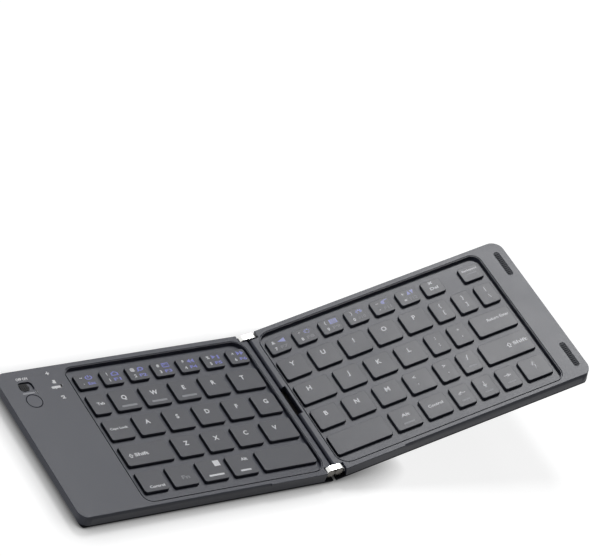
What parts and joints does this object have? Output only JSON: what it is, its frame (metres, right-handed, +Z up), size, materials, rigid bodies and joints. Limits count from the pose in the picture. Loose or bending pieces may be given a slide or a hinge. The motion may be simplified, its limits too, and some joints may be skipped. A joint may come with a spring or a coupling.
{
  "type": "folding keyboard",
  "caption": "Pocket keyboard in two thin halves that fold shut on twin-axis geared hinges, with low flat keys in a sunken bed and a control strip at one end.",
  "frame": {"origin": "on the surface it stands on, under the middle of its bounding box", "axes": "+X from the control strip's half to the raised half, +Y from the space keys to the number row, +Z up"},
  "size_m": [0.2982, 0.098, 0.0526],
  "materials": {
    "case": "fine matt texture, dark grey",
    "cover": "fine matt texture, dark grey",
    "key": "matt dark grey key cap",
    "plate": "rolled sheet",
    "membrane": "clear film with printed tracks",
    "dome": "translucent white silicone",
    "clip": "moulded white",
    "battery": "aluminium foil pouch",
    "board": "green solder mask",
    "knob": "matt near-black",
    "light_pipe": "clear",
    "port": "plated steel shell",
    "foot": "matt black rubber",
    "screw": "nickel plated",
    "pad": "ribbed dark grey rubber",
    "link": "polished, slightly warm",
    "bracket": "plain steel",
    "flex": "dark polyimide film"
  },
  "bodies": {
    "left_half": {"left_top_case": "case", "left_bottom_cover": "cover", "left_key_plate": "plate", "left_membrane": "membrane", "left_rubber_domes": "dome", "left_scissor_clips": "clip", "battery": "battery", "main_board": "board", "indicator_lights": "light_pipe", "charging_port": "port", "left_feet": "foot", "left_case_screws": "screw", "left_hinge_brackets": "bracket", "flex_cable": "flex"},
    "hinge_link": {"hinge_links": "link"},
    "right_half": {"right_top_case": "case", "right_bottom_cover": "cover", "right_key_plate": "plate", "right_membrane": "membrane", "right_rubber_domes": "dome", "right_scissor_clips": "clip", "ribbed_pads": "pad", "right_feet": "foot", "right_case_screws": "screw", "right_hinge_brackets": "bracket"},
    "power_switch_knob_body": {"power_switch_knob": "knob"},
    "connect_button_body": {"connect_button": "case"},
    "left_number_keys_body": {"left_number_keys": "key"},
    "left_edge_keys_body": {"left_edge_keys": "key"},
    "key_q_body": {"key_q": "key"},
    "key_w_body": {"key_w": "key"},
    "key_e_body": {"key_e": "key"},
    "key_r_body": {"key_r": "key"},
    "key_t_body": {"key_t": "key"},
    "key_a_body": {"key_a": "key"},
    "key_s_body": {"key_s": "key"},
    "key_d_body": {"key_d": "key"},
    "key_f_body": {"key_f": "key"},
    "key_g_body": {"key_g": "key"},
    "key_z_body": {"key_z": "key"},
    "key_x_body": {"key_x": "key"},
    "key_c_body": {"key_c": "key"},
    "key_v_body": {"key_v": "key"},
    "key_space_left_body": {"key_space_left": "key"},
    "right_number_keys_body": {"right_number_keys": "key"},
    "right_edge_keys_body": {"right_edge_keys": "key"},
    "right_bottom_keys_body": {"right_bottom_keys": "key"},
    "key_y_body": {"key_y": "key"},
    "key_u_body": {"key_u": "key"},
    "key_i_body": {"key_i": "key"},
    "key_o_body": {"key_o": "key"},
    "key_p_body": {"key_p": "key"},
    "key_h_body": {"key_h": "key"},
    "key_j_body": {"key_j": "key"},
    "key_k_body": {"key_k": "key"},
    "key_l_body": {"key_l": "key"},
    "key_b_body": {"key_b": "key"},
    "key_n_body": {"key_n": "key"},
    "key_m_body": {"key_m": "key"},
    "key_space_right_body": {"key_space_right": "key"}
  },
  "joints": [
    {"name": "link_hinge", "type": "hinge", "parent": "left_half", "child": "hinge_link", "pos_m": [0.00073, 0, 0.00605], "axis": [0, -1, 0], "range_deg": [-8.5, 81.5], "deforming": ["flex_cable"]},
    {"name": "right_hinge", "type": "hinge", "parent": "hinge_link", "child": "right_half", "pos_m": [0.00548, 0, 0.00676], "axis": [0, -1, 0], "range_deg": [-8.5, 81.5], "deforming": ["flex_cable"]},
    {"name": "power_switch_slide", "type": "slide", "parent": "left_half", "child": "power_switch_knob_body", "axis": [1, 0, 0], "range_m": [0, 0.002]},
    {"name": "connect_button_press", "type": "slide", "parent": "left_half", "child": "connect_button_body", "axis": [0, 0, 1], "range_m": [-0.00025, 0], "stiffness_N_per_m": 2000},
    {"name": "left_number_key_press", "type": "slide", "parent": "left_half", "child": "left_number_keys_body", "axis": [0, 0, 1], "range_m": [-0.0014, 0], "stiffness_N_per_m": 400, "deforming": ["left_rubber_domes", "left_scissor_clips"]},
    {"name": "left_edge_key_press", "type": "slide", "parent": "left_half", "child": "left_edge_keys_body", "axis": [0, 0, 1], "range_m": [-0.0014, 0], "stiffness_N_per_m": 400, "deforming": ["left_rubber_domes", "left_scissor_clips"]},
    {"name": "key_q_press", "type": "slide", "parent": "left_half", "child": "key_q_body", "axis": [0, 0, 1], "range_m": [-0.0014, 0], "stiffness_N_per_m": 400, "deforming": ["left_rubber_domes", "left_scissor_clips"]},
    {"name": "key_w_press", "type": "slide", "parent": "left_half", "child": "key_w_body", "axis": [0, 0, 1], "range_m": [-0.0014, 0], "stiffness_N_per_m": 400, "deforming": ["left_rubber_domes", "left_scissor_clips"]},
    {"name": "key_e_press", "type": "slide", "parent": "left_half", "child": "key_e_body", "axis": [0, 0, 1], "range_m": [-0.0014, 0], "stiffness_N_per_m": 400, "deforming": ["left_rubber_domes", "left_scissor_clips"]},
    {"name": "key_r_press", "type": "slide", "parent": "left_half", "child": "key_r_body", "axis": [0, 0, 1], "range_m": [-0.0014, 0], "stiffness_N_per_m": 400, "deforming": ["left_rubber_domes", "left_scissor_clips"]},
    {"name": "key_t_press", "type": "slide", "parent": "left_half", "child": "key_t_body", "axis": [0, 0, 1], "range_m": [-0.0014, 0], "stiffness_N_per_m": 400, "deforming": ["left_rubber_domes", "left_scissor_clips"]},
    {"name": "key_a_press", "type": "slide", "parent": "left_half", "child": "key_a_body", "axis": [0, 0, 1], "range_m": [-0.0014, 0], "stiffness_N_per_m": 400, "deforming": ["left_rubber_domes", "left_scissor_clips"]},
    {"name": "key_s_press", "type": "slide", "parent": "left_half", "child": "key_s_body", "axis": [0, 0, 1], "range_m": [-0.0014, 0], "stiffness_N_per_m": 400, "deforming": ["left_rubber_domes", "left_scissor_clips"]},
    {"name": "key_d_press", "type": "slide", "parent": "left_half", "child": "key_d_body", "axis": [0, 0, 1], "range_m": [-0.0014, 0], "stiffness_N_per_m": 400, "deforming": ["left_rubber_domes", "left_scissor_clips"]},
    {"name": "key_f_press", "type": "slide", "parent": "left_half", "child": "key_f_body", "axis": [0, 0, 1], "range_m": [-0.0014, 0], "stiffness_N_per_m": 400, "deforming": ["left_rubber_domes", "left_scissor_clips"]},
    {"name": "key_g_press", "type": "slide", "parent": "left_half", "child": "key_g_body", "axis": [0, 0, 1], "range_m": [-0.0014, 0], "stiffness_N_per_m": 400, "deforming": ["left_rubber_domes", "left_scissor_clips"]},
    {"name": "key_z_press", "type": "slide", "parent": "left_half", "child": "key_z_body", "axis": [0, 0, 1], "range_m": [-0.0014, 0], "stiffness_N_per_m": 400, "deforming": ["left_rubber_domes", "left_scissor_clips"]},
    {"name": "key_x_press", "type": "slide", "parent": "left_half", "child": "key_x_body", "axis": [0, 0, 1], "range_m": [-0.0014, 0], "stiffness_N_per_m": 400, "deforming": ["left_rubber_domes", "left_scissor_clips"]},
    {"name": "key_c_press", "type": "slide", "parent": "left_half", "child": "key_c_body", "axis": [0, 0, 1], "range_m": [-0.0014, 0], "stiffness_N_per_m": 400, "deforming": ["left_rubber_domes", "left_scissor_clips"]},
    {"name": "key_v_press", "type": "slide", "parent": "left_half", "child": "key_v_body", "axis": [0, 0, 1], "range_m": [-0.0014, 0], "stiffness_N_per_m": 400, "deforming": ["left_rubber_domes", "left_scissor_clips"]},
    {"name": "key_space_left_press", "type": "slide", "parent": "left_half", "child": "key_space_left_body", "axis": [0, 0, 1], "range_m": [-0.0014, 0], "stiffness_N_per_m": 400, "deforming": ["left_rubber_domes", "left_scissor_clips"]},
    {"name": "right_number_key_press", "type": "slide", "parent": "right_half", "child": "right_number_keys_body", "axis": [-0.2924, 0, 0.9563], "range_m": [-0.0014, 0], "stiffness_N_per_m": 400, "deforming": ["right_rubber_domes", "right_scissor_clips"]},
    {"name": "right_edge_key_press", "type": "slide", "parent": "right_half", "child": "right_edge_keys_body", "axis": [-0.2924, 0, 0.9563], "range_m": [-0.0014, 0], "stiffness_N_per_m": 400, "deforming": ["right_rubber_domes", "right_scissor_clips"]},
    {"name": "right_bottom_key_press", "type": "slide", "parent": "right_half", "child": "right_bottom_keys_body", "axis": [-0.2924, 0, 0.9563], "range_m": [-0.0014, 0], "stiffness_N_per_m": 400, "deforming": ["right_rubber_domes", "right_scissor_clips"]},
    {"name": "key_y_press", "type": "slide", "parent": "right_half", "child": "key_y_body", "axis": [-0.2924, 0, 0.9563], "range_m": [-0.0014, 0], "stiffness_N_per_m": 400, "deforming": ["right_rubber_domes", "right_scissor_clips"]},
    {"name": "key_u_press", "type": "slide", "parent": "right_half", "child": "key_u_body", "axis": [-0.2924, 0, 0.9563], "range_m": [-0.0014, 0], "stiffness_N_per_m": 400, "deforming": ["right_rubber_domes", "right_scissor_clips"]},
    {"name": "key_i_press", "type": "slide", "parent": "right_half", "child": "key_i_body", "axis": [-0.2924, 0, 0.9563], "range_m": [-0.0014, 0], "stiffness_N_per_m": 400, "deforming": ["right_rubber_domes", "right_scissor_clips"]},
    {"name": "key_o_press", "type": "slide", "parent": "right_half", "child": "key_o_body", "axis": [-0.2924, 0, 0.9563], "range_m": [-0.0014, 0], "stiffness_N_per_m": 400, "deforming": ["right_rubber_domes", "right_scissor_clips"]},
    {"name": "key_p_press", "type": "slide", "parent": "right_half", "child": "key_p_body", "axis": [-0.2924, 0, 0.9563], "range_m": [-0.0014, 0], "stiffness_N_per_m": 400, "deforming": ["right_rubber_domes", "right_scissor_clips"]},
    {"name": "key_h_press", "type": "slide", "parent": "right_half", "child": "key_h_body", "axis": [-0.2924, 0, 0.9563], "range_m": [-0.0014, 0], "stiffness_N_per_m": 400, "deforming": ["right_rubber_domes", "right_scissor_clips"]},
    {"name": "key_j_press", "type": "slide", "parent": "right_half", "child": "key_j_body", "axis": [-0.2924, 0, 0.9563], "range_m": [-0.0014, 0], "stiffness_N_per_m": 400, "deforming": ["right_rubber_domes", "right_scissor_clips"]},
    {"name": "key_k_press", "type": "slide", "parent": "right_half", "child": "key_k_body", "axis": [-0.2924, 0, 0.9563], "range_m": [-0.0014, 0], "stiffness_N_per_m": 400, "deforming": ["right_rubber_domes", "right_scissor_clips"]},
    {"name": "key_l_press", "type": "slide", "parent": "right_half", "child": "key_l_body", "axis": [-0.2924, 0, 0.9563], "range_m": [-0.0014, 0], "stiffness_N_per_m": 400, "deforming": ["right_rubber_domes", "right_scissor_clips"]},
    {"name": "key_b_press", "type": "slide", "parent": "right_half", "child": "key_b_body", "axis": [-0.2924, 0, 0.9563], "range_m": [-0.0014, 0], "stiffness_N_per_m": 400, "deforming": ["right_rubber_domes", "right_scissor_clips"]},
    {"name": "key_n_press", "type": "slide", "parent": "right_half", "child": "key_n_body", "axis": [-0.2924, 0, 0.9563], "range_m": [-0.0014, 0], "stiffness_N_per_m": 400, "deforming": ["right_rubber_domes", "right_scissor_clips"]},
    {"name": "key_m_press", "type": "slide", "parent": "right_half", "child": "key_m_body", "axis": [-0.2924, 0, 0.9563], "range_m": [-0.0014, 0], "stiffness_N_per_m": 400, "deforming": ["right_rubber_domes", "right_scissor_clips"]},
    {"name": "key_space_right_press", "type": "slide", "parent": "right_half", "child": "key_space_right_body", "axis": [-0.2924, 0, 0.9563], "range_m": [-0.0014, 0], "stiffness_N_per_m": 400, "deforming": ["right_rubber_domes", "right_scissor_clips"]}
  ],
  "couplings": [
    {"joint": "right_hinge", "follows": "link_hinge", "ratio": 1}
  ]
}
